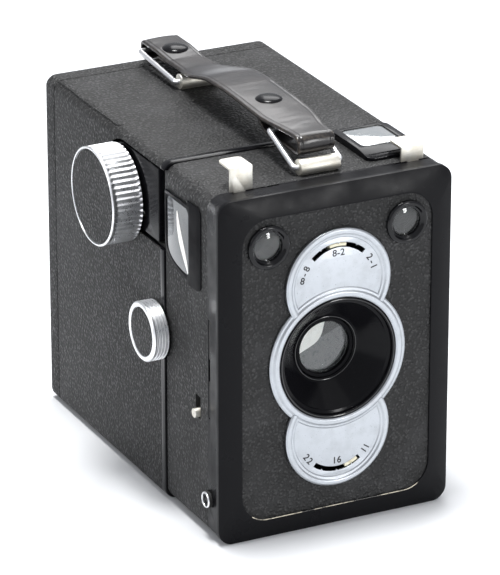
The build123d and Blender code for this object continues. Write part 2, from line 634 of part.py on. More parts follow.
def lock_bush():
    bore = LOCK_BOLT_R + RUNNING
    profile = [(-44.2, bore), (-44.2, LOCK_BUSH_R), (-38.6, LOCK_BUSH_R), (-38.6, LOCK_BUSH_R - 0.6),
               (-43.6, LOCK_BUSH_R - 0.6), (-43.6, bore)]
    return turned_x(profile, LOCK_Y, LENS_Z)


def lock_knob():
    bottom, top = SIDE - 0.3, SIDE - 5.8
    profile = [(top, 7.9), (top, LOCK_R - 0.4), (top + 0.4, LOCK_R)]
    for k in range(4):
        x = top + 1.1 + k * 1.15
        profile += [(x - 0.3, LOCK_R), (x, LOCK_R - 0.5), (x + 0.3, LOCK_R)]
    profile += [(bottom, LOCK_R), (bottom, 6.4), (top + 1.2, 6.4), (top + 1.2, 0), (top + 0.5, 0),
                (top + 0.5, 7.9)]
    return turned_x(profile, LOCK_Y, LENS_Z)


def lock_disc():
    return cyl_x(7.9, SIDE - 5.7, SIDE - 5.3, LOCK_Y, LENS_Z)


def lock_bolt():
    collar = cyl_x(LOCK_BUSH_R - 0.7, -39.6, -39.0, LOCK_Y, LENS_Z)
    return cyl_x(LOCK_BOLT_R, SIDE - 4.6, -36.3, LOCK_Y, LENS_Z) + collar


def lock_spring():
    return Pos(-43.2, LOCK_Y, LENS_Z) * Rot(0, 90, 0) * coil(3.4, 0.25, 3.2, 3)


def window_frame():
    z0, z1 = 46.0, 80.0
    body = box(RED_X - 8, RED_X + 8, DEPTH, DEPTH + 1.8, z0, z1)
    body = fillet(body.edges().filter_by(Axis.Y), 1.5)
    body -= box(RED_X - 6.8, RED_X + 6.8, DEPTH + 0.4, DEPTH + 1.2, z0 + 1.0, z1 - 1.0)
    body -= box(RED_X - 5.4, RED_X + 5.4, DEPTH + 1.0, DEPTH + 2, z0 + 1.0, z1 - 1.0)
    return body - cyl_y(RED_R, DEPTH - 1, DEPTH + 1, RED_X, LENS_Z)


def red_window():
    return cyl_y(RED_R, 126.6, DEPTH + 0.1, RED_X, LENS_Z)


def window_cover():
    plate = box(RED_X - 6.6, RED_X + 6.6, DEPTH + 0.55, DEPTH + 1.05, 49.0, 65.0)
    grip = cyl_y(2.0, DEPTH + 1.0, DEPTH + 2.6, RED_X, LENS_Z)
    return plate + fillet(grip.edges().group_by(Axis.Y)[-1], 0.5)


def pressure_plate():
    plate = box(-31, 31, FILM_Y + 1.1, FILM_Y + 1.7, LENS_Z - 44, LENS_Z + 44)
    plate -= cyl_y(6.0, FILM_Y, FILM_Y + 3, RED_X, LENS_Z)
    for x in (-16.0, 10.0):
        for z in (LENS_Z - 28, LENS_Z + 28):
            plate += cyl_y(2.0, FILM_Y + 1.4, DEPTH - COVER - SHELL_WALL, x, z)
    return plate


def strap_bracket_rear():
    return strap_bracket(BRACKET_REAR, 111.6)


# ---------------------------------------------------------------- strap and its loops
def strap_loop(place, length, tilt):
    y, z = place
    half = LOOP_WIDTH / 2
    corners = [(half, 0), (half, length), (-half, length), (-half, 0)]
    path = FilletPolyline(*corners, radius=1.2, close=True)
    ring = sweep(Plane(origin=path @ 0, z_dir=path % 0) * Circle(WIRE_R), path=path)
    return Pos(0, y, z) * Rot(tilt, 0, 0) * ring


def strap_line():
    """Height of the strap's upper face above the camera's base at stations along Y."""
    return [(14.2, 124.9), (30, 125.5), (46, 126.0), (60, 126.5), (74, 126.0), (85, 123.2), (95, 121.0),
            (105, 120.6), (115, 121.4), (127.4, 121.5)]


STRAP_HALF_END, STRAP_HALF_MIDDLE = 6.5, 9.0


def strap_layer():
    """The strap's upper layer, with the wide hand grip in its middle."""
    top = [(y, z) for y, z in strap_line()]
    low = [(y, z - STRAP_THICK) for y, z in reversed(top)]
    side_view = make_face([Spline(*top), Line(top[-1], low[0]), Spline(*low), Line(low[-1], top[0])])
    layer = prism_x(side_view, -STRAP_HALF_MIDDLE, STRAP_HALF_MIDDLE)
    end, middle = STRAP_HALF_END, STRAP_HALF_MIDDLE
    outline = make_face(Polyline((-end, 14), (-end, 18), (-middle, 38), (-middle, 84), (-end, 98), (-end, 128),
                                 (end, 128), (end, 98), (middle, 84), (middle, 38), (end, 18), (end, 14),
                                 close=True))
    return layer & Pos(0, 0, 100) * extrude(outline, amount=40)


def folded_tail(points):
    return prism_x(make_face(Polyline(*points, close=True)), -STRAP_HALF_END, STRAP_HALF_END)


def strap():
    rear_tail = [(126.4, 120.9), (126.4, 117.2), (119.5, 117.2), (114, 119.9), (108, 119.9), (108, 118.8),
                 (113.6, 118.8), (119, 116.1), (127.4, 116.1), (127.4, 120.9)]
    return strap_layer() + folded_tail(rear_tail)


def strap_front_fold():
    """The end that is folded round the front loop's bar and snapped to the strap's underside."""
    front_tail = [(14.2, 124.4), (14.2, 120.2), (36, 120.2), (42, 123.6), (50, 125.4), (50, 124.2), (43, 122.4),
                  (36.6, 119.0), (13.0, 119.0), (13.0, 124.4)]
    return folded_tail(front_tail) - strap_layer()


STUDS = ((46.0, 126.0), (114.0, 121.3))


def strap_studs():
    caps = []
    for y, z in STUDS:
        cap = cyl_z(4.4, z - 0.1, z + 1.4, 0, y)
        caps.append(fillet(cap.edges().group_by(Axis.Z)[-1], 1.2))
    return caps


# ---------------------------------------------------------------- export
NODES = {
    "front_bezel": front_bezel, "front_leather": front_leather, "front_housing": front_housing,
    "housing_leather": housing_leather, "scale_plate": scale_plate, "lens_hood": lens_hood,
    "lens_cell": lens_cell, "front_lens": front_lens, "finder_rings": finder_rings,
    "finder_windows": finder_windows, "finder_mirrors": finder_mirrors,
    "finder_housings": finder_housings, "finder_frame_top": finder_frame_top,
    "finder_frame_side": finder_frame_side, "finder_glasses": finder_glasses,
    "shutter_plate": shutter_plate, "fixed_pins": fixed_pins,
    "flash_socket": flash_socket, "flash_contact": flash_contact, "tripod_sockets": tripod_sockets,
    "strap_bracket_front": strap_bracket_front, "aperture_pointer": aperture_pointer,
    "aperture_disc": aperture_disc, "aperture_slide": aperture_slide,
    "distance_pointer": distance_pointer, "distance_disc": distance_disc,
    "close_up_lenses": close_up_lenses, "distance_slide": distance_slide,
    "release_lever": release_lever, "release_spring": release_spring, "shutter_blade": shutter_blade,
    "time_slide": time_slide, "light_cone": light_cone,
    "chassis_side_left": lambda: chassis_side(-1), "chassis_side_right": lambda: chassis_side(1),
    "film_roller_lower": lambda: film_roller(ROLLER_LOW),
    "film_roller_upper": lambda: film_roller(ROLLER_HIGH),
    "takeup_spool": takeup_spool, "winder_plate": winder_plate, "winder_sleeve": winder_sleeve,
    "winder_knob": winder_knob, "winder_disc": winder_disc, "rear_shell": rear_shell,
    "shell_leather": shell_leather, "back_leather": back_leather, "lock_bush": lock_bush,
    "lock_knob": lock_knob, "lock_disc": lock_disc, "lock_bolt": lock_bolt, "lock_spring": lock_spring,
    "window_frame": window_frame, "red_window": red_window, "window_cover": window_cover,
    "pressure_plate": pressure_plate, "strap_bracket_rear": strap_bracket_rear,
    "strap_loop_front": lambda: strap_loop(BRACKET_FRONT, LOOP_LENGTH_FRONT, LOOP_TILT_FRONT),
    "strap_loop_rear": lambda: strap_loop(BRACKET_REAR, LOOP_LENGTH_REAR, LOOP_TILT_REAR),
    "strap": strap, "strap_front_fold": strap_front_fold, "strap_studs": strap_studs,
}

os.makedirs("parts", exist_ok=True)
for name, make in NODES.items():
    shape = make()
    pieces = shape if isinstance(shape, list) else [shape]
    solids = [solid for piece in pieces for solid in piece.solids()]
    placed = [Pos(0, -TRIPOD_Y, 0) * solid for solid in solids]
    whole = placed[0] if len(placed) == 1 else Compound(children=placed)
    export_step(whole, f"parts/{name}.step")
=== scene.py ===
"""Looks of a metal box camera for roll film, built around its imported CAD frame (metres)."""
import json
from math import acos, cos, degrees, exp, pi, radians, sin, sqrt, tan

import bmesh
import bpy
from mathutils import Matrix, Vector, noise


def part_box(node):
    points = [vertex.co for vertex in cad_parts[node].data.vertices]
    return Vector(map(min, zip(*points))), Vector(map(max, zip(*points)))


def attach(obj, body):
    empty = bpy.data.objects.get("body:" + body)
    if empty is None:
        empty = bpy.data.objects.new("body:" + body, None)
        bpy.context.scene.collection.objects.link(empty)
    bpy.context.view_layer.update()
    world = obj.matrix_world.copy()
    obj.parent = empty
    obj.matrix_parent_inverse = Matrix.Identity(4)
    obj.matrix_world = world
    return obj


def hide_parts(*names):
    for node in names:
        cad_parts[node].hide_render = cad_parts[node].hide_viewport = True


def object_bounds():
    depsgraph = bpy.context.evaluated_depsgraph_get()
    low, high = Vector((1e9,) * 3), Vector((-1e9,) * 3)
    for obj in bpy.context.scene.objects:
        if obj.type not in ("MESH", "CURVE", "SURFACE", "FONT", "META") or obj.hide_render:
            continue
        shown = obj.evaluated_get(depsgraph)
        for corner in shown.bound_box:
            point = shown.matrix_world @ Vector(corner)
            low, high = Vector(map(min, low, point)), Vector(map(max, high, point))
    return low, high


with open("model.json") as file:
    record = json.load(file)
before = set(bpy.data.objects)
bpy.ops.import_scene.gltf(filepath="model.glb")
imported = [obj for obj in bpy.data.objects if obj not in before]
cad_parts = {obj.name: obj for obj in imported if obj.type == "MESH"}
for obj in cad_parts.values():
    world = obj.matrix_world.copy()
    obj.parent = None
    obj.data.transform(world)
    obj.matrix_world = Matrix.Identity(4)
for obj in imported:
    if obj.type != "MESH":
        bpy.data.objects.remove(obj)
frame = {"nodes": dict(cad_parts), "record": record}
NODES = frame["nodes"]
CAD_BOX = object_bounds()
MM = 0.001
BODY = {node: body for body, nodes in frame["record"]["behaviour"]["bodies"].items() for node in nodes}
SLOT = {part["node"]: part["material_slot"] for part in frame["record"]["subparts"]}


# ---------------------------------------------------------------- camera, floor and light
def look_from(obj, place, target):
    obj.location = place
    obj.rotation_mode = "QUATERNION"
    obj.rotation_quaternion = (Vector(target) - Vector(place)).to_track_quat("-Z", "Y")


def add_camera():
    data = bpy.data.cameras.new("camera")
    data.lens = 265.85
    data.sensor_width = 36.0
    data.clip_end = 20.0
    camera = bpy.data.objects.new("camera", data)
    bpy.context.scene.collection.objects.link(camera)
    look_from(camera, (-0.5564, -1.0853, 0.5802), (0.0018, 0.0428, 0.0560))
    bpy.context.scene.camera = camera


def add_area(name, place, target, size, power):
    data = bpy.data.lights.new(name, "AREA")
    data.shape = "RECTANGLE"
    data.size, data.size_y = size
    data.energy = power
    lamp = bpy.data.objects.new(name, data)
    bpy.context.scene.collection.objects.link(lamp)
    look_from(lamp, place, target)
    lamp.visible_camera = False
    return lamp


def add_stage():
    low = CAD_BOX[0].z
    mesh = bpy.data.meshes.new("floor")
    half = 3.0
    mesh.from_pydata([(-half, -half, low), (half, -half, low), (half, half, low), (-half, half, low)],
                     [], [(0, 1, 2, 3)])
    floor = bpy.data.objects.new("floor", mesh)
    bpy.context.scene.collection.objects.link(floor)
    shade = Shade("floor_paper", roughness=0.9)
    shade.link(shade.ramp(shade.noise(3.0, 2), (0.35, 0.65), ((0.61, 0.62, 0.635), (0.64, 0.65, 0.665))),
               shade.bsdf.inputs["Base Color"])
    floor.data.materials.append(shade.material)
    world = bpy.data.worlds.new("studio")
    world.use_nodes = True
    world.node_tree.nodes["Background"].inputs["Color"].default_value = (0.93, 0.95, 1.0, 1)
    world.node_tree.nodes["Background"].inputs["Strength"].default_value = 0.55
    bpy.context.scene.world = world
    middle = (0, 0.04, 0.06)
    add_area("overhead", (-0.08, 0.1, 1.35), middle, (0.34, 0.34), 27)
    add_area("back_right", (0.62, 0.85, 1.05), middle, (0.8, 0.8), 9)
    add_area("left_window", (-1.3, -0.1, 0.8), middle, (0.7, 0.7), 4.5)
    add_area("front_top", (0.5, -0.6, 1.2), middle, (0.9, 0.9), 1.2)
    add_area("front_strip", (0.475, -1.05, 0.27), middle, (0.15, 0.5), 5.0)
    bpy.context.scene.view_settings.view_transform = "Standard"


# ---------------------------------------------------------------- materials
class Shade:
    """A procedural material, with short names for the nodes that it uses."""

    def __init__(self, name, color=(0.5, 0.5, 0.5), roughness=0.5, metallic=0.0, **sockets):
        self.material = bpy.data.materials.new(name)
        self.material.use_nodes = True
        self.tree = self.material.node_tree
        self.bsdf = self.tree.nodes["Principled BSDF"]
        self.bsdf.inputs["Base Color"].default_value = (*color, 1)
        self.bsdf.inputs["Roughness"].default_value = roughness
        self.bsdf.inputs["Metallic"].default_value = metallic
        for socket, value in sockets.items():
            self.bsdf.inputs[socket.replace("_", " ")].default_value = value
        self.place = self.node("ShaderNodeTexCoord").outputs["Object"]

    def node(self, kind, **values):
        made = self.tree.nodes.new(kind)
        for key, value in values.items():
            setattr(made, key, value)
        return made

    def link(self, output, socket):
        self.tree.links.new(output, socket)
        return output

    def stretched(self, x, y, z):
        mapping = self.node("ShaderNodeMapping")
        mapping.inputs["Scale"].default_value = (x, y, z)
        self.link(self.place, mapping.inputs["Vector"])
        return mapping.outputs["Vector"]

    def noise(self, scale, detail=3.0, place=None, roughness=0.55, distortion=0.0):
        made = self.node("ShaderNodeTexNoise")
        made.inputs["Scale"].default_value = scale
        made.inputs["Detail"].default_value = detail
        made.inputs["Roughness"].default_value = roughness
        made.inputs["Distortion"].default_value = distortion
        self.link(place or self.place, made.inputs["Vector"])
        return made.outputs["Fac"]

    def cells(self, scale, smooth, place=None):
        made = self.node("ShaderNodeTexVoronoi", feature="SMOOTH_F1")
        made.inputs["Scale"].default_value = scale
        made.inputs["Smoothness"].default_value = smooth
        self.link(place or self.place, made.inputs["Vector"])
        return made.outputs["Distance"]

    def math(self, kind, a, b=0.0):
        made = self.node("ShaderNodeMath", operation=kind)
        for socket, value in zip(made.inputs, (a, b)):
            if isinstance(value, (int, float)):
                socket.default_value = value
            else:
                self.link(value, socket)
        return made.outputs["Value"]

    def span(self, value, low, high, to_low=0.0, to_high=1.0):
        made = self.node("ShaderNodeMapRange")
        self.link(value, made.inputs["Value"])
        for socket, number in zip(("From Min", "From Max", "To Min", "To Max"), (low, high, to_low, to_high)):
            made.inputs[socket].default_value = number
        return made.outputs["Result"]

    def ramp(self, value, stops, colors):
        made = self.node("ShaderNodeValToRGB")
        elements = made.color_ramp.elements
        for i, (stop, color) in enumerate(zip(stops, colors)):
            element = elements[i] if i < 2 else elements.new(stop)
            element.position = stop
            element.color = (*color, 1)
        self.link(value, made.inputs["Fac"])
        return made.outputs["Color"]

    def mix(self, factor, a, b):
        made = self.node("ShaderNodeMix", data_type="RGBA")
        self.link(factor, made.inputs["Factor"])
        for socket, value in ((made.inputs["A"], a), (made.inputs["B"], b)):
            if isinstance(value, tuple):
                socket.default_value = (*value, 1)
            else:
                self.link(value, socket)
        return made.outputs["Result"]

    def worn_edges(self, low=0.53, high=0.6):
        """1 on sharp outer edges, broken up by noise."""
        point = self.node("ShaderNodeNewGeometry").outputs["Pointiness"]
        return self.math("MULTIPLY", self.span(point, low, high), self.span(self.noise(900, 3), 0.45, 0.6))

    def bump(self, height, depth, strength):
        made = self.node("ShaderNodeBump")
        made.inputs["Distance"].default_value = depth
        made.inputs["Strength"].default_value = strength
        self.link(height, made.inputs["Height"])
        self.link(made.outputs["Normal"], self.bsdf.inputs["Normal"])

    def set(self, **outputs):
        for socket, output in outputs.items():
            self.link(output, self.bsdf.inputs[socket.replace("_", " ")])
        return self


def leatherette():
    """Fine pebbled black book cloth: small uneven grains with creases between them."""
    shade = Shade("leatherette", roughness=0.5)
    wander = shade.node("ShaderNodeVectorMath", operation="ADD")
    offset = shade.node("ShaderNodeTexNoise")
    offset.inputs["Scale"].default_value = 500
    shade.link(shade.place, offset.inputs["Vector"])
    small = shade.node("ShaderNodeVectorMath", operation="SCALE")
    small.inputs["Scale"].default_value = 0.0009
    shade.link(offset.outputs["Color"], small.inputs[0])
    shade.link(shade.place, wander.inputs[0])
    shade.link(small.outputs["Vector"], wander.inputs[1])
    place = wander.outputs["Vector"]
    grain = shade.cells(920, 0.22, place)
    fine = shade.noise(4200, 3, place)
    folds = shade.noise(330, 3, shade.stretched(1.0, 3.6, 1.0), distortion=0.5)
    height = shade.math("ADD", shade.span(grain, 0.05, 0.62, 1.0, 0.0), shade.math("MULTIPLY", fine, 0.35))
    height = shade.math("ADD", height, shade.math("MULTIPLY", folds, 1.2))
    # The raised grain is painted lighter and the hollows darker. This is partly wear on the peaks, and partly a
    # painted highlight on the grain and painted shade in the creases.
    peaks = shade.span(height, 0.95, 1.75)
    color = shade.mix(peaks, (0.0015,) * 3, (0.029,) * 3)
    dust = shade.span(shade.noise(60, 4), 0.5, 0.75, 0.0, 0.3)
    shade.set(Base_Color=shade.mix(dust, color, (0.055, 0.055, 0.058)),
              Roughness=shade.span(peaks, 0.0, 1.0, 0.66, 0.36))
    shade.bump(height, 0.00042, 1.0)
    return shade.material


def enamel(name="black_enamel", roughness=0.15, specular=0.17):
    """Stove enamel: dark gloss, slight orange peel and hair scratches."""
    shade = Shade(name, roughness=roughness, Specular_IOR_Level=specular)
    scratch = shade.span(shade.noise(700, 4, shade.stretched(1, 14, 2.5), distortion=0.4), 0.64, 0.76)
    smear = shade.span(shade.noise(90, 4), 0.35, 0.7, roughness, 1.8 * roughness)
    color = shade.mix(scratch, (0.0045, 0.0045, 0.0055), (0.020, 0.019, 0.018))
    shade.set(Base_Color=color, Roughness=smear)
    shade.bump(shade.noise(420, 2), 0.00003, 0.5)
    return shade.material


def rubbed_edge():
    """An enamelled edge rubbed through to pale metal in places."""
    shade = Shade("rubbed_edge", roughness=0.35)
    broken = shade.span(shade.noise(150, 5, roughness=0.7), 0.44, 0.54)
    shade.set(Base_Color=shade.mix(broken, (0.03, 0.028, 0.025), (0.66, 0.60, 0.48)),
              Roughness=shade.span(broken, 0.0, 1.0, 0.25, 0.45))
    shade.bump(shade.noise(900, 3), 0.00003, 0.5)
    return shade.material


def matt_black():
    shade = Shade("matt_black", roughness=0.7)
    shade.set(Base_Color=shade.ramp(shade.noise(500, 4), (0.3, 0.7), ((0.010, 0.010, 0.011), (0.028, 0.027, 0.026))),
              Roughness=shade.span(shade.noise(900, 3), 0.3, 0.7, 0.55, 0.8))
    shade.bump(shade.noise(3000, 3), 0.00004, 0.5)
    return shade.material


def plated(name, color, dirt, roughness, grain=(1, 1, 1), coarse=0.12):
    """Plated metal with wipe marks, dulled patches and fine pits."""
    shade = Shade(name, roughness=roughness, metallic=1.0)
    patches = shade.span(shade.noise(260, 5), 0.42, 0.72)
    pits = shade.span(shade.noise(2600, 3), 0.66, 0.74)
    brushed = shade.noise(2200, 3, shade.stretched(*grain))
    tone = shade.mix(patches, color, dirt)
    shade.set(Base_Color=shade.mix(pits, tone, tuple(0.45 * v for v in color)),
              Roughness=shade.math("ADD", shade.span(brushed, 0.3, 0.7, roughness, roughness + coarse),
                                   shade.math("MULTIPLY", patches, 0.1)))
    shade.bump(brushed, 0.00001, 0.35)
    return shade.material


def strap_leather():
    """Smooth glossy strap hide: fine pores, cross creases and lighter rubbed edges."""
    shade = Shade("strap_hide", roughness=0.35, Specular_IOR_Level=0.3, Coat_Weight=0.35, Coat_Roughness=0.16)
    creases = shade.span(shade.noise(120, 4, shade.stretched(1.0, 6.0, 1.0), distortion=0.5), 0.56, 0.70)
    pores = shade.cells(2300, 0.2)
    rub = shade.span(shade.noise(90, 4), 0.45, 0.8)
    base = shade.mix(rub, (0.007, 0.0058, 0.006), (0.020, 0.016, 0.015))
    edge = shade.worn_edges(0.52, 0.60)
    shade.set(Base_Color=shade.mix(edge, base, (0.16, 0.13, 0.10)),
              Roughness=shade.span(rub, 0.0, 1.0, 0.30, 0.42))
    height = shade.math("ADD", shade.math("MULTIPLY", creases, -0.4), shade.math("MULTIPLY", pores, 0.22))
    shade.bump(height, 0.00010, 0.5)
    return shade.material


def painted(name, color, dirt, roughness=0.4):
    shade = Shade(name, roughness=roughness)
    shade.set(Base_Color=shade.mix(shade.span(shade.noise(700, 4), 0.45, 0.75), color, dirt),
              Roughness=shade.span(shade.noise(900, 3), 0.3, 0.7, roughness - 0.08, roughness + 0.12))
    shade.bump(shade.noise(1500, 3), 0.00002, 0.4)
    return shade.material


def glass(name, tint=(0.95, 0.97, 0.97)):
    roughness = 0.02
    shade = Shade(name, color=tint, roughness=roughness, Transmission_Weight=1.0, IOR=1.5)
    shade.set(Roughness=shade.span(shade.noise(300, 4), 0.45, 0.8, roughness, roughness + 0.10))
    return shade.material


def backed_glass(name, tone):
    """Thick finder glass with a mirror close behind it, slightly grey and smeared; tone gives the glass a painted
    brightness for the view seen in it.
    """
    shade = Shade(name, roughness=0.07, metallic=0.6, Coat_Weight=0.5, Coat_Roughness=0.02)
    smears = shade.span(shade.noise(330, 4, distortion=0.8), 0.45, 0.75)
    shade.set(Base_Color=shade.mix(smears, (0.9 * tone, 0.97 * tone, tone), (1.15 * tone,) * 3),
              Roughness=shade.span(smears, 0.0, 1.0, 0.06, 0.20))
    shade.bump(shade.noise(60, 2), 0.0001, 0.3)
    return shade.material


def silvered():
    shade = Shade("silvered", roughness=0.2, metallic=1.0)
    tarnish = shade.span(shade.noise(400, 5), 0.5, 0.75)
    shade.set(Base_Color=shade.mix(tarnish, (0.80, 0.82, 0.83), (0.45, 0.43, 0.38)),
              Roughness=shade.span(shade.noise(500, 4), 0.4, 0.8, 0.22, 0.35))
    return shade.material


MATERIALS = {
    "enamel": enamel(), "glossy_enamel": enamel("glossy_enamel", 0.03, 0.7),
    "hood_enamel": enamel("hood_enamel", 0.12, 0.11), "dull_enamel": enamel("dull_enamel", 0.35, 0.05),
    # lens_reflection_grey paints the lens's grey reflection onto the disc behind the glass.
    "lens_reflection_grey": painted("lens_reflection_grey", (0.040, 0.043, 0.045), (0.032, 0.032, 0.035), 0.3),
    "bezel_enamel": enamel("bezel_enamel", 0.27, 0.11),
    "ring_enamel": enamel("ring_enamel", 0.05, 0.3), "rubbed_edge": rubbed_edge(), "blackened": matt_black(),
    "bare_steel": plated("bare_steel", (0.50, 0.50, 0.51), (0.30, 0.29, 0.27), 0.32),
    "covering": leatherette(), "strap_leather": strap_leather(),
    "dial_metal": plated("satin_aluminium", (0.47, 0.495, 0.525), (0.42, 0.44, 0.465), 0.27, (1, 1, 1), 0.1),
    "nickel": plated("satin_nickel", (0.74, 0.725, 0.67), (0.64, 0.605, 0.52), 0.42),
    "bright": plated("bright_chrome", (0.90, 0.91, 0.93), (0.78, 0.78, 0.78), 0.24),
    "brass": plated("brass", (0.75, 0.56, 0.26), (0.48, 0.35, 0.16), 0.28),
    "ivory": painted("ivory_paint", (0.80, 0.76, 0.58), (0.55, 0.50, 0.34)),
    "clear_glass": glass("clear_glass"), "red_glass": glass("ruby_glass", (0.55, 0.02, 0.02)),
    # painted_highlight_cream is used only for painted highlights: the lens crescent and the finder glass strips.
    "painted_highlight_cream": painted("painted_highlight_cream", (0.99, 0.98, 0.93), (0.93, 0.91, 0.86), 0.3),
    # The top finder glass gets a lighter painted tone than the side glass, as painted light for the brighter view it
    # shows.
    "silvered": silvered(), "backed_glass_top": backed_glass("backed_glass_top", 0.40),
    "backed_glass_side": backed_glass("backed_glass_side", 0.115),
    "ink": painted("dial_ink", (0.012, 0.012, 0.014), (0.03, 0.03, 0.03), 0.5),
    "spool_metal": painted("spool_black", (0.02, 0.02, 0.02), (0.08, 0.075, 0.07), 0.45),
}


def dress_cad():
    for name, node in NODES.items():
        node.data.materials.clear()
        node.data.materials.append(MATERIALS[OTHER_LOOK.get(name, SLOT[name])])


# ---------------------------------------------------------------- mesh helpers (millimetres, frame axes)
def box_of(node):
    low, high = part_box(node)
    return Vector(low) / MM, Vector(high) / MM


def finish_piece(name, bm, material, node, hides=(), sharp=32.0):
    """Makes a piece from a bmesh drawn in millimetres. It rides with node's body and hides the nodes named."""
    bmesh.ops.remove_doubles(bm, verts=bm.verts, dist=0.0005)
    bmesh.ops.recalc_face_normals(bm, faces=bm.faces)
    bmesh.ops.scale(bm, vec=(MM, MM, MM), verts=bm.verts)
    for face in bm.faces:
        face.smooth = True
    for edge in bm.edges:
        edge.smooth = len(edge.link_faces) == 2 and edge.calc_face_angle(0) < radians(sharp)
    mesh = bpy.data.meshes.new(name)
    bm.to_mesh(mesh)
    bm.free()
    mesh.materials.append(material)
    piece = bpy.data.objects.new(name, mesh)
    bpy.context.scene.collection.objects.link(piece)
    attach(piece, BODY[node])
    if hides:
        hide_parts(*hides)
    return piece


def block(bm, low, high):
    """Adds a plain bar between two corners."""
    made = bmesh.ops.create_cube(bm, size=1.0)["verts"]
    for vertex in made:
        vertex.co = Vector([(low[i] + high[i]) / 2 + vertex.co[i] * (high[i] - low[i]) for i in range(3)])


def soften(points, radius=0.3, steps=4, closed=True):
    """Rounds the corners of an outline. A point may carry its own radius as a third number."""
    out = []
    count = len(points)
    for i, point in enumerate(points):
        here = Vector(point[:2])
        own = point[2] if len(point) > 2 else radius
        if own <= 0 or (not closed and i in (0, count - 1)):
            out.append(tuple(here))
            continue
        before = Vector(points[i - 1][:2]) - here
        after = Vector(points[(i + 1) % count][:2]) - here
        turn = pi - before.angle(after)
        if turn < radians(4):
            out.append(tuple(here))
            continue
        cut = min(own * tan(turn / 2), 0.48 * before.length, 0.48 * after.length)
        a, b = here + before.normalized() * cut, here + after.normalized() * cut
        for k in range(steps + 1):
            t = k / steps
            out.append(tuple((1 - t) ** 2 * a + 2 * t * (1 - t) * here + t * t * b))
    return out


def turned(bm, profile, axis, centre, segments=96, wave=None):
    """Adds a turned solid. profile holds (radius, place along the axis); centre is the two other coordinates."""
    rings = []
    for k in range(segments):
        angle = 2 * pi * k / segments
        ring = []
        for radius, along in profile:
            r = radius if wave is None else wave(radius, along, angle)
            u, v = centre[0] + r * sin(angle), centre[1] + r * cos(angle)
            ring.append(bm.verts.new({"x": (along, u, v), "y": (u, along, v), "z": (u, v, along)}[axis]))
        rings.append(ring)
    count = len(profile)
    for k in range(segments):
        a, b = rings[k], rings[(k + 1) % segments]
        for i in range(count):
            j = (i + 1) % count
            quad = [a[i], a[j], b[j], b[i]]
            if profile[i][0] < 1e-6 and profile[j][0] < 1e-6:
                continue
            if profile[i][0] < 1e-6:
                quad = [a[i], a[j], b[j]]
            elif profile[j][0] < 1e-6:
                quad = [a[i], a[j], b[i]]
            bm.faces.new(quad)


def turned_piece(name, node, profile, axis, centre, material=None, hides=None, radius=0.25, segments=96):
    bm = bmesh.new()
    turned(bm, soften(profile, radius), axis, centre, segments)
    return finish_piece(name, bm, material or MATERIALS[SLOT[node]], node, (node,) if hides is None else hides)


def sheet_from_curve(loops, depth, edge, to_place, bm):
    """Fills flat outlines, holes included, to a plate with rounded edges. to_place maps (u, v, w) to millimetres."""
    curve = bpy.data.curves.new("outline", "CURVE")
    curve.dimensions = "2D"
    curve.fill_mode = "BOTH"
    curve.extrude = depth / 2 - edge
    curve.bevel_depth = edge
    curve.bevel_resolution = 2
    curve.offset = -edge
    for loop in loops:
        spline = curve.splines.new("POLY")
        spline.points.add(len(loop) - 1)
        for point, (u, v) in zip(spline.points, loop):
            point.co = (u, v, 0, 1)
        spline.use_cyclic_u = True
    drawn(curve, to_place, bm)


def drawn(curve, to_place, bm):
    """Adds a curve's or text's filled mesh to bm."""
    holder = bpy.data.objects.new("outline", curve)
    bpy.context.scene.collection.objects.link(holder)
    mesh = bpy.data.meshes.new_from_object(holder.evaluated_get(bpy.context.evaluated_depsgraph_get()))
    for vertex in mesh.vertices:
        vertex.co = to_place(*vertex.co)
    bm.from_mesh(mesh)
    bpy.data.objects.remove(holder)
    bpy.data.curves.remove(curve)
    bpy.data.meshes.remove(mesh)


def refine(node, width, material, shorten=None):
    """A copy of a CAD node with its triangles merged and its edges rounded. shorten holds a place on x, in
    millimetres, and how much of what lies left of it is kept."""
    sharp, merge_distance, flat_angle = 30.0, 2e-6, 0.6
    source = NODES[node]
    bm = bmesh.new()
    bm.from_mesh(source.data)
    bmesh.ops.remove_doubles(bm, verts=bm.verts, dist=merge_distance)
    bmesh.ops.dissolve_limit(bm, angle_limit=radians(flat_angle), verts=bm.verts, edges=bm.edges)
    mesh = bpy.data.meshes.new(node + "_finished")
    bm.to_mesh(mesh)
    bm.free()
    holder = bpy.data.objects.new("holder", mesh)
    bpy.context.scene.collection.objects.link(holder)
    bevel = holder.modifiers.new("rounding", "BEVEL")
    bevel.width = width * MM
    bevel.segments = 2
    bevel.limit_method = "ANGLE"
    bevel.angle_limit = radians(sharp)
    bevel.use_clamp_overlap = True
    bevel.miter_outer = "MITER_ARC"
    rounded = bpy.data.meshes.new_from_object(holder.evaluated_get(bpy.context.evaluated_depsgraph_get()))
    bpy.data.objects.remove(holder)
    bm = bmesh.new()
    bm.from_mesh(rounded)
    bmesh.ops.scale(bm, vec=(1 / MM,) * 3, verts=bm.verts)
    if shorten is not None:
        place, kept = shorten
        for vertex in bm.verts:
            if vertex.co.x < place:
                vertex.co.x = place + kept * (vertex.co.x - place)
    bpy.data.meshes.remove(rounded)
    return finish_piece(node + "_finished", bm, material, node, (node,), sharp)


# ---------------------------------------------------------------- front: hood, lens, finder windows
def arc(centre, radius, start, end, steps):
    """Points on an arc in the front plane; angles are in degrees, clockwise from straight up."""
    out = []
    for k in range(steps + 1):
        angle = radians(start + (end - start) * k / steps)
        out.append((centre[0] + radius * sin(angle), centre[1] + radius * cos(angle)))
    return out


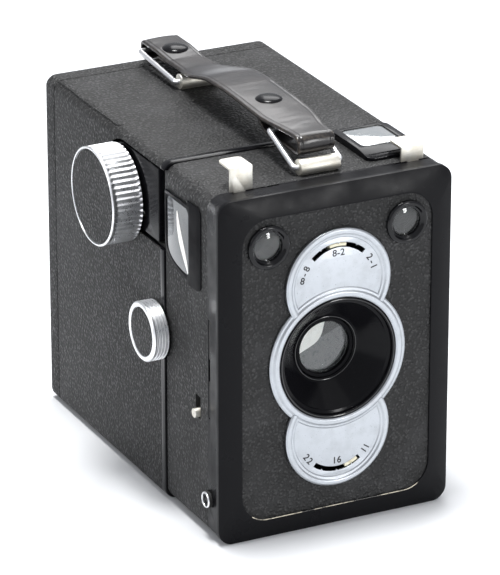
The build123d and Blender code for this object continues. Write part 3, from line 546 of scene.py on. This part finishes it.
def lens_pieces():
    low, high = box_of("lens_hood")
    middle = (0.0, (low.z + high.z) / 2)
    y = low.y
    turned_piece("hood", "lens_hood", [
        (20.0, y, 0.5), (18.95, y, 0.35), (18.75, y + 1.15, 0.15), (17.9, y + 1.5, 0.2), (17.6, y + 1.9, 0.2),
        (11.2, y + 8.6, 0.8), (10.05, y + 9.3, 0.3), (10.0, y + 11.3, 0.1), (11.6, y + 11.3), (20.0, y + 3.2)],
        "y", middle, MATERIALS["hood_enamel"], segments=160)
    for name, radius, along, size in (("hood_bead", 19.45, y + 0.3, 0.34),
                                      ("hood_inner_bead", 10.55, y + 8.75, 0.24)):
        bead = [(radius + size * sin(k * pi / 6), along - size * cos(k * pi / 6), 0) for k in range(12)]
        turned_piece(name, "lens_hood", bead, "y", middle, MATERIALS["glossy_enamel"], (), segments=160)
    y = box_of("lens_cell")[0].y
    turned_piece("lens_mount", "lens_cell", [
        (8.6, y + 0.35, 0.1), (8.75, y, 0.1), (9.9, y, 0.3), (9.9, y + 2.1), (12.0, y + 2.1), (12.0, y + 3.6),
        (8.7, y + 3.6), (8.7, y + 0.6), (8.6, y + 0.6)], "y", middle, MATERIALS["dull_enamel"], segments=128)
    low = box_of("front_lens")[0]
    rim, bulge, steps = 8.65, 0.7, 16
    behind = low.y + 1.5
    front = [(rim * k / steps, low.y + bulge * (k / steps) ** 2) for k in range(steps + 1)]
    back = [(rim, behind), (0.0, behind)]
    bm = bmesh.new()
    turned(bm, front + back, "y", middle, 128)
    finish_piece("lens_glass", bm, MATERIALS["clear_glass"], "front_lens", ("front_lens",))
    # Painted reflection: the grey disc behind the glass stands in for the room's reflection that greys the lens.
    turned_piece("lens_painted_reflection_disc", "lens_cell", [(0.0, behind + 0.5, 0), (8.6, behind + 0.5, 0), (8.6, behind + 1.0, 0),
                                               (0.0, behind + 1.0, 0)], "y", middle, MATERIALS["lens_reflection_grey"], (), 0)
    # Painted highlight: a cream crescent just behind the glass stands in for the bright reflection on the lens's
    # upper left. A dark wedge beside it stands in for a dark reflection.
    highlight_crescent = arc(middle, 8.5, -103, 8, 24) + soften([(1.2, middle[1] + 8.4), (-0.6, middle[1] + 1.9),
                                                      (-8.3, middle[1] - 1.7)], 14, 8, closed=False)
    dark_reflection_wedge = arc(middle, 8.5, 8, 50, 12) + [(-0.4, middle[1] + 2.9)]
    for name, outline, look in (("lens_painted_highlight", highlight_crescent, "painted_highlight_cream"), ("lens_painted_dark_reflection", dark_reflection_wedge, "dull_enamel")):
        bm = bmesh.new()
        sheet_from_curve([outline], 0.24, 0.05, lambda u, v, w: Vector((u, behind + 0.2 - w, v)), bm)
        finish_piece(name, bm, MATERIALS[look], "lens_cell")


def finder_window_pieces():
    low, high = box_of("finder_rings")
    z = (low.z + high.z) / 2
    x = high.x - 7.0
    y = low.y
    bm = bmesh.new()
    profile = soften([(7.0, y + 0.35, 0.3), (6.5, y, 0.35), (5.75, y, 0.25), (5.2, y + 0.75, 0.3),
                      (4.7, y + 0.95, 0.15), (4.7, y + 4.4), (7.0, y + 4.4)], 0.1)
    for side in (-1, 1):
        turned(bm, profile, "y", (side * x, z), 96)
    finish_piece("finder_window_rings", bm, MATERIALS["ring_enamel"], "finder_rings", ("finder_rings",))


def finder_glass_pieces():
    """Low pillow-shaped glasses that fill the finder openings, each with a painted highlight strip towards the front.
    """
    for name, node, half, sweep, edge, rise in (("top", "finder_frame_top", 7.0, None, 1.85, 0.7),
                                                ("side", "finder_frame_side", 11.0, (7.0, 14.5), 0.45, 0.7)):
        low, high = box_of(node)
        front, rear = low.y + 7.95, high.y - 1.25
        middle = (front + rear) / 2
        across = half - 0.05
        outline = [(-across, front, 1.9), (across, front, 1.9), (across, rear, 1.2 if sweep else 1.9)]
        if sweep is None:
            outline.append((-across, rear, 1.9))
        else:
            a, b = sweep
            outline += [(a - across - a * sin(k * pi / 20), rear - b + b * cos(k * pi / 20), 0) for k in range(10)]
        outline = soften(outline, steps=6)
        outline = evenly(outline + outline[:1], 0.6)

        def put(u, v, w):
            if node == "finder_frame_top":
                return Vector(((low.x + high.x) / 2 + u, v, low.z + w))
            return Vector((high.x - w, v, (low.z + high.z) / 2 + u))

        def height(u, v):
            return edge + rise * (1 - (u / half) ** 2) * (1 - ((v - middle) / (rear - middle)) ** 2)
        bm = bmesh.new()
        rings = []
        dome = [(t, 0.0) for t in (0.985, 0.93, 0.84, 0.72, 0.6, 0.48, 0.36, 0.24, 0.12)]
        for t, drop in [(1.0, 1.6), (1.0, 0.12)] + dome:
            rings.append([bm.verts.new(put(u * t, middle + (v - middle) * t,
                                           height(u * t, middle + (v - middle) * t) - drop)) for u, v in outline])
        for ring, inner in zip(rings, rings[1:]):
            for i in range(len(ring)):
                j = (i + 1) % len(ring)
                bm.faces.new([ring[i], ring[j], inner[j], inner[i]])
        bm.faces.new(rings[-1])
        bm.faces.new(list(reversed(rings[0])))
        finish_piece("finder_glass_" + name, bm, MATERIALS["backed_glass_" + name], "finder_glasses",
                     ("finder_glasses",))
        # Painted highlight: a cream strip lying on the glass stands in for the light reflected in the front of the
        # dome.
        bm = bmesh.new()
        thick = 0.12
        ribs = []
        for k in range(41):
            t = k / 40
            if sweep is None:
                u = 0.9 * across * (2 * t - 1)
                v_far = front + 4.1
                v_near = v_far - 0.1 - 3.5 * (1 - (2 * t - 1) ** 2)
            else:
                u = across * (1.72 * t - 0.97)
                v_near = front + 0.45 + 7.0 * t ** 1.5
                v_far = v_near + 0.1 + 2.4 * sin(pi * t) ** 0.8
            ribs.append([bm.verts.new(put(u, v, height(u, v) + up))
                         for v, up in ((v_near, -thick), (v_near, 0.1), ((v_near + v_far) / 2, 0.12),
                                       (v_far, 0.1), (v_far, -thick))])
        for a_row, b_row in zip(ribs, ribs[1:]):
            for i in range(5):
                j = (i + 1) % 5
                bm.faces.new([a_row[i], a_row[j], b_row[j], b_row[i]])
        bm.faces.new(ribs[0])
        bm.faces.new(list(reversed(ribs[-1])))
        finish_piece("finder_painted_highlight_" + name, bm, MATERIALS["painted_highlight_cream"], "finder_glasses")


def scale_plate_pieces():
    """The pressed plate: a flat field, two raised lobes' rims and the ring round the hood."""
    low, high = box_of("scale_plate")
    middle_z = (low.z + high.z) / 2
    ring_out, ring_in, lobe_out, lobe_in, offset = 23.5, 20.1, 18.0, 14.9, 25.0
    front, field, back = low.y, low.y + 0.72, high.y
    meet = acos((ring_out ** 2 + offset ** 2 - lobe_out ** 2) / (2 * ring_out * offset))
    turn = degrees(acos((lobe_out ** 2 + offset ** 2 - ring_out ** 2) / (2 * lobe_out * offset)))
    a = degrees(meet)
    outline = arc((0, middle_z + offset), lobe_out - 0.2, turn - 180, 180 - turn, 72)
    outline += arc((0, middle_z), ring_out - 0.2, a, 180 - a, 40)
    outline += arc((0, middle_z - offset), lobe_out - 0.2, turn, 360 - turn, 72)
    outline += arc((0, middle_z), ring_out - 0.2, 180 + a, 360 - a, 40)
    holes = [arc((0, middle_z), ring_in + 0.2, 0, 358, 120)]
    slot_r, slot_half, tooth = 12.5, 0.78, 0.55
    for up, spread, marks in ((1, 44, (-28, 0, 28)), (-1, 38, (-24, 0, 24))):
        centre = (0, middle_z + up * offset)
        base = 0 if up > 0 else 180
        outer = arc(centre, slot_r + slot_half, base - spread, base + spread, 44)
        inner = arc(centre, slot_r - slot_half, base + spread, base - spread, 44)
        toothed = []
        for k, point in enumerate(outer):
            toothed.append(point)
            angle = base - spread + 2 * spread * k / 44
            for mark in marks:
                if 0 <= base + mark - angle < 2 * spread / 44 and k < 44:
                    toothed += arc(centre, slot_r + slot_half - tooth, base + mark, base + mark + 0.01, 1)[:1]
        holes.append(toothed + inner)
    bm = bmesh.new()
    sheet_from_curve([outline] + holes, back - field, 0.06,
                     lambda u, v, w: Vector((u, (field + back) / 2 - w, v)), bm)
    rim = [(ring_in, back), (ring_in, front + 0.35, 0.25), (ring_in + 0.55, front, 0.3), (ring_in + 1.7, front, 0.5),
           (ring_in + 2.35, front + 0.42, 0.2), (ring_out - 0.45, front + 0.46, 0.15), (ring_out, field, 0.1),
           (ring_out, back)]
    turned(bm, soften(rim, 0.2), "y", (0, middle_z), 160)
    lobe = [(lobe_out, back), (lobe_out, front + 0.35, 0.3), (lobe_out - 0.6, front, 0.35),
            (lobe_out - 1.6, front, 0.4), (lobe_out - 2.15, front + 0.4, 0.2), (lobe_in + 0.35, front + 0.46, 0.15),
            (lobe_in, field, 0.1), (lobe_in, back)]
    profile = soften(lobe, 0.2)
    for up in (1, -1):
        centre_z = middle_z + up * offset
        stop = 180 - turn + 4
        rings = []
        for k in range(97):
            angle = radians((0 if up > 0 else 180) - stop + 2 * stop * k / 96)
            rings.append([bm.verts.new((r * sin(angle), y, centre_z + r * cos(angle))) for r, y in profile])
        for ring, after in zip(rings, rings[1:]):
            for i in range(len(profile)):
                j = (i + 1) % len(profile)
                bm.faces.new([ring[i], ring[j], after[j], after[i]])
        bm.faces.new(rings[0])
        bm.faces.new(list(reversed(rings[-1])))
    finish_piece("dial_plate", bm, MATERIALS["dial_metal"], "scale_plate", ("scale_plate",))
    dial_figures(middle_z, offset, field)


def dial_figures(middle_z, offset, face_y):
    """Distance ranges on the upper dial and stop numbers on the lower one."""
    bm = bmesh.new()

    def mark(text, up, radius, angle, size, turn=0.0):
        font = bpy.data.curves.new("figure", "FONT")
        font.body = text
        font.size = size
        font.align_x = "CENTER"
        font.align_y = "CENTER"
        font.extrude = 0.02
        font.offset = 0.05
        font.space_character = 1.05
        lean = radians(angle + turn)
        cx, cz = radius * sin(radians(angle)), middle_z + up * offset + radius * cos(radians(angle))

        def put(u, v, w):
            return Vector((cx + u * cos(lean) + v * sin(lean), face_y - 0.03 - w, cz - u * sin(lean) + v * cos(lean)))
        drawn(font, put, bm)

    size = 3.1
    mark("8-2", 1, 9.9, 0, size)
    mark("8", 1, 12.6, -78, size, 90)
    for text, angle in (("-", -68), ("8", -59)):
        mark(text, 1, 12.6, angle, size)
    for text, angle in (("2", 58), ("-", 67), ("1", 75)):
        mark(text, 1, 12.6, angle, size)
    mark("16", -1, 9.8, 180, size, 180)
    for text, angle in (("1", 131), ("1", 124)):
        mark(text, -1, 12.6, angle, size, 180)
    for text, angle in (("2", 238), ("2", 229)):
        mark(text, -1, 12.6, angle, size, 180)
    finish_piece("dial_figures", bm, MATERIALS["ink"], "scale_plate")


# ---------------------------------------------------------------- knobs, studs and sockets
def knob_pieces():
    low, high = box_of("winder_knob")
    centre = ((low.y + high.y) / 2, (low.z + high.z) / 2)
    x, radius, flutes = low.x, 16.0, 54
    foot = x + 10.5

    def wave(r, along, angle):
        if r < radius - 0.9 or along < x + 1.0 or along > foot - 0.3:
            return r
        ramp = min(1.0, (along - x - 1.0) / 0.7, (foot - 0.3 - along) / 0.5)
        return r - 0.5 * ramp * abs(cos(flutes * angle / 2)) ** 1.3

    side = [(radius - 0.12, x + 1.0 + 0.35 * k, 0) for k in range(26)]
    recess = radius - 0.75
    profile = [(recess, x + 0.55, 0.05), (recess + 0.05, x + 0.05, 0.1), (radius - 0.3, x, 0.15),
               (radius, x + 0.35, 0.25)]
    profile += [p for p in side if p[1] < foot - 0.25]
    profile += [(radius - 0.3, foot, 0.2), (radius - 1.7, foot, 0.1), (radius - 1.7, x + 1.6, 0.1),
                (5.0, x + 1.6, 0.1), (5.0, foot, 0.1), (0.0, foot, 0), (0.0, x + 0.55, 0)]
    bm = bmesh.new()
    turned(bm, soften(profile, 0.15, 3), "x", centre, flutes * 12, wave=wave)
    square, blade, blade_half = 2.94, 0.7, 2.8
    shaft, key = (foot, high.x - 2.1, square, square), (high.x - 3.0, high.x, blade, blade_half)
    for start, end, half_y, half_z in (shaft, key):
        block(bm, (start, centre[0] - half_y, centre[1] - half_z), (end, centre[0] + half_y, centre[1] + half_z))
    finish_piece("winding_knob", bm, MATERIALS["bright"], "winder_knob", ("winder_knob",))
    x = box_of("winder_disc")[0].x
    turned_piece("winding_knob_leather", "winder_disc",
                 [(0.0, x - 0.02, 0), (8.0, x, 2.0), (14.7, x + 0.04, 0.2), (15.2, x + 0.45, 0), (0.0, x + 0.45, 0)],
                 "x", centre)
    low, high = box_of("lock_knob")
    centre = ((low.y + high.y) / 2, (low.z + high.z) / 2)
    x, radius = low.x, 9.75
    profile = [(7.95, x + 0.6, 0.05), (8.0, x + 0.15, 0.2), (8.6, x, 0.25), (radius - 0.5, x + 0.05, 0.3),
               (radius, x + 0.55, 0.3)]
    for k in range(4):
        ridge = x + 1.45 + 1.08 * k
        profile += [(radius - 0.05, ridge - 0.36, 0.15), (radius - 0.62, ridge - 0.1, 0.1),
                    (radius - 0.62, ridge + 0.1, 0.1), (radius - 0.05, ridge + 0.36, 0.15)]
    profile += [(radius - 0.25, x + 5.5, 0.15), (6.4, x + 5.5, 0.1), (6.4, x + 1.2, 0.1), (0.0, x + 1.2, 0),
                (0.0, x + 0.5, 0)]
    bm = bmesh.new()
    turned(bm, soften(profile, 0.12, 3), "x", centre, 128)
    finish_piece("lock_button", bm, MATERIALS["bright"], "lock_knob", ("lock_knob",))
    x = box_of("lock_disc")[0].x
    turned_piece("lock_button_leather", "lock_disc",
                 [(0.0, x, 0), (5.0, x, 1.0), (7.6, x + 0.05, 0.15), (7.85, x + 0.4, 0), (0.0, x + 0.4, 0)],
                 "x", centre)


def stud_pieces():
    low, high = box_of("strap_studs")
    bm = bmesh.new()
    for y, top in ((low.y + 4.4, high.z), (high.y - 4.4, low.z + 1.5)):
        dome = [(0.0, top), (1.6, top - 0.06), (2.9, top - 0.26), (3.8, top - 0.6), (4.25, top - 0.98),
                (4.38, top - 1.22), (4.25, top - 1.42), (3.9, top - 1.5), (0.0, top - 1.5)]
        turned(bm, dome, "z", (0.0, y), 72)
    finish_piece("press_stud_caps", bm, MATERIALS["enamel"], "strap_studs", ("strap_studs",), sharp=50)


def socket_pieces():
    low, high = box_of("flash_socket")
    centre = ((low.y + high.y) / 2, (low.z + high.z) / 2)
    x = low.x
    turned_piece("flash_ring", "flash_socket",
                 [(2.05, x + 0.3, 0.1), (2.15, x + 0.05, 0.1), (2.4, x, 0.15), (2.66, x + 0.35, 0.1),
                  (2.6, x + 0.5), (2.6, x + 4.5), (2.05, x + 4.5)],
                 "x", centre, segments=64)
    # Painted shade: the sleeve round the ring is matt black to stand in for the shadowed gap beside the ring.
    turned_piece("flash_sleeve", "flash_socket",
                 [(2.6, x + 0.45), (2.72, x + 0.55, 0.05), (2.72, x + 4.6), (2.6, x + 4.6)],
                 "x", centre, MATERIALS["blackened"], hides=(), segments=64)


# ---------------------------------------------------------------- carrying strap
def cord(bm, points, radius):
    """Adds a thin round ridge along a line, its ends closed."""
    sides = 8
    rings = []
    for k, point in enumerate(points):
        ahead = (Vector(points[min(k + 1, len(points) - 1)]) - Vector(points[max(k - 1, 0)])).normalized()
        across = ahead.cross(Vector((0, 0, 1))).normalized()
        up = across.cross(ahead)
        rings.append([bm.verts.new(Vector(point) + radius * (across * cos(a) + up * sin(a)))
                      for a in (2 * pi * i / sides for i in range(sides))])
    for a, b in zip(rings, rings[1:]):
        for i in range(sides):
            j = (i + 1) % sides
            bm.faces.new([a[i], a[j], b[j], b[i]])
    bm.faces.new(list(reversed(rings[0])))
    bm.faces.new(rings[-1])


def rubbed_lip_piece():
    """The lower edge of the bezel's opening, rubbed bright along the bottom and into both corners."""
    low, high = box_of("front_leather")
    y, radius = box_of("front_bezel")[0].y + 0.05, 8.9
    reach, drop = high.x - radius + 0.1, low.z + radius - 0.1
    line = []
    for side, turn in ((-1, range(-38, 1, 2)), (1, range(0, 39, 2))):
        line += [(side * reach + radius * sin(radians(d)), y, drop - radius * cos(radians(d))) for d in turn]
    bm = bmesh.new()
    cord(bm, line, 0.15)
    finish_piece("bezel_rubbed_lip", bm, MATERIALS["rubbed_edge"], "front_bezel", sharp=60)


def seam_piece():
    """The lap of the leather covering along the top left edge, turned in at its end."""
    low, high = box_of("shell_leather")
    x, z = low.x + 1.6, high.z - 0.06
    line = [(x + 0.12 * sin(0.31 * k), high.y - 0.5 - 1.5 * k, z) for k in range(30)]
    line += [(x + 0.4, high.y - 45.2, z), (x + 1.1, high.y - 46.2, z), (x + 2.2, high.y - 46.4, z)]
    bm = bmesh.new()
    cord(bm, line, 0.2)
    finish_piece("leather_lap", bm, MATERIALS["covering"], "shell_leather", sharp=60)


def finder_rib_pieces():
    """Two fine ribs across the sloping front of the top finder's frame."""
    low, high = box_of("finder_frame_top")
    rise, run = 0.35 * (high.z - low.z), 3.0
    bm = bmesh.new()
    for along in (1.0, 2.2):
        y, z = low.y + along, low.z + 0.45 * (high.z - low.z) + rise * along / run
        cord(bm, [(low.x + 1.6, y, z), (high.x - 1.6, y, z)], 0.22)
    finish_piece("finder_hood_ribs", bm, MATERIALS["enamel"], "finder_frame_top", sharp=60)


def evenly(points, step):
    """Points at equal spacing along a polyline."""
    out, left = [Vector(points[0])], step
    for a, b in zip(points, points[1:]):
        a, b = Vector(a), Vector(b)
        length = (b - a).length
        while left <= length and length > 0:
            out.append(a.lerp(b, left / length))
            left += step
        left -= length
    return out


def eased(value, low, high):
    t = max(0.0, min(1.0, (value - low) / (high - low)))
    return t * t * (3 - 2 * t)


def strap_piece():
    """One hide: the front end folds under the loop's bar and is snapped on, the rear end likewise."""
    low, high = box_of("strap")
    fold_low, fold_high = box_of("strap_front_fold")
    front, rear, top = fold_low.y, high.y, high.z
    half = 1.2 / 2
    step, tip, narrow, swell, folded = 0.7, 3.0, 6.45, 2.5, 6.3
    route = [(front + 38.5, top - 2.25, 3), (front + 30.5, top - 2.95, 6), (front + 24.0, fold_low.z + half, 7),
             (front + half, fold_low.z + half, 2.5), (front + half, fold_high.z - 0.35, 2.4),
             (front + 8.0, top - 2.05, 20), (front + 33.0, top - 1.15, 60), (front + 48.0, top - 0.75, 40),
             (front + 60.0, top - 1.15, 24), (front + 72.0, top - 4.2, 24), (front + 82.0, top - 6.35, 20),
             (front + 93.0, top - 6.55, 30), (front + 103.0, top - 5.75, 30), (rear - half, top - 5.6, 2.2),
             (rear - half, low.z + half, 2.2), (rear - 8.6, low.z + half, 5), (rear - 13.6, low.z + 3.05, 5),
             (rear - 20.0, low.z + 3.3, 3)]
    path = evenly(soften(route, steps=12, closed=False), step)
    last = len(path) - 1
    rows = []
    for k, point in enumerate(path):
        ahead = (path[min(k + 1, last)] - path[max(k - 1, 0)]).normalized()
        out = Vector((-ahead.y, ahead.x))
        on_top = out.y > 0.3
        y = point.x
        wide = narrow + swell * eased(y, front + 4.0, front + 24.0) * (1 - eased(y, front + 70.0, front + 85.0))
        if not on_top:
            wide = folded
        end = min(k, last - k) * step
        if end < tip:
            wide *= sqrt(max(0.02, 1 - (1 - end / tip) ** 2)) * 0.35 + 0.65
        crown = 0.35 if on_top else 0.1
        across = [0.0, 0.25, 0.5, 0.7]
        across = [v * wide for v in across] + [wide - v for v in (1.9, 1.62, 1.35, 1.08, 0.75, 0.4)]
        row = [(u, half + crown * (1 - (u / wide) ** 2) - 0.13 * exp(-((u - wide + 1.35) / 0.22) ** 2))
               for u in across]
        turns = [radians(d) for d in (20, 50, 90, 130, 160)]
        edge = [(wide - half * 0.55 + half * 0.55 * sin(a), half * cos(a)) for a in turns]
        under = [(wide * v, -half + crown * (1 - v * v) * 0.9) for v in (0.85, 0.55, 0.25)]
        right = row + edge + under
        ring = right + [(0.0, -half + crown * 0.9)] + [(-u, n) for u, n in reversed(right[1:])]
        verts = []
        for u, n in ring:
            spot = Vector((u * 0.11, y * 0.11, 3.7 if on_top else 9.1))
            dent = 0.16 * noise.noise(spot) + 0.05 * noise.noise(spot * 4.3)
            lift = n + dent * (1.0 if 6 < end else 0.3)
            verts.append(Vector((u, y + out.x * lift, point.y + out.y * lift)))
        rows.append(verts)
    bm = bmesh.new()
    made = [[bm.verts.new(v) for v in row] for row in rows]
    for a, b in zip(made, made[1:]):
        for i in range(len(a)):
            j = (i + 1) % len(a)
            bm.faces.new([a[i], a[j], b[j], b[i]])
    bm.faces.new(made[0])
    bm.faces.new(list(reversed(made[-1])))
    finish_piece("carrying_strap", bm, MATERIALS["strap_leather"], "strap", ("strap", "strap_front_fold"), sharp=60)


# ---------------------------------------------------------------- the object
REFINED = {
    "front_bezel": 0.45, "finder_frame_top": 0.35, "finder_frame_side": 0.3, "aperture_slide": 0.2,
    "distance_slide": 0.2, "strap_bracket_front": 0.2, "strap_bracket_rear": 0.2, "release_lever": 0.2,
    "time_slide": 0.1, "window_frame": 0.3, "window_cover": 0.2, "winder_plate": 0.4, "rear_shell": 0.45,
    "housing_leather": 0.3, "shell_leather": 0.25, "back_leather": 0.2, "aperture_pointer": 0.1,
    "distance_pointer": 0.1,
}
# time_slide and flash_contact take the matt black look as painted shade: the slide deep in its slit and the pin in
# the socket's hollow stand in for the shade there.
OTHER_LOOK = {"front_bezel": "bezel_enamel", "finder_frame_side": "dull_enamel", "time_slide": "blackened",
              "flash_contact": "blackened"}
SHORTEN = {"release_lever": (-40.0, 0.35)}
add_camera()
add_stage()
dress_cad()
for node, width in REFINED.items():
    refine(node, width, MATERIALS[OTHER_LOOK.get(node, SLOT[node])], SHORTEN.get(node))
lens_pieces()
finder_window_pieces()
finder_glass_pieces()
scale_plate_pieces()
knob_pieces()
stud_pieces()
socket_pieces()
strap_piece()
seam_piece()
rubbed_lip_piece()
finder_rib_pieces()
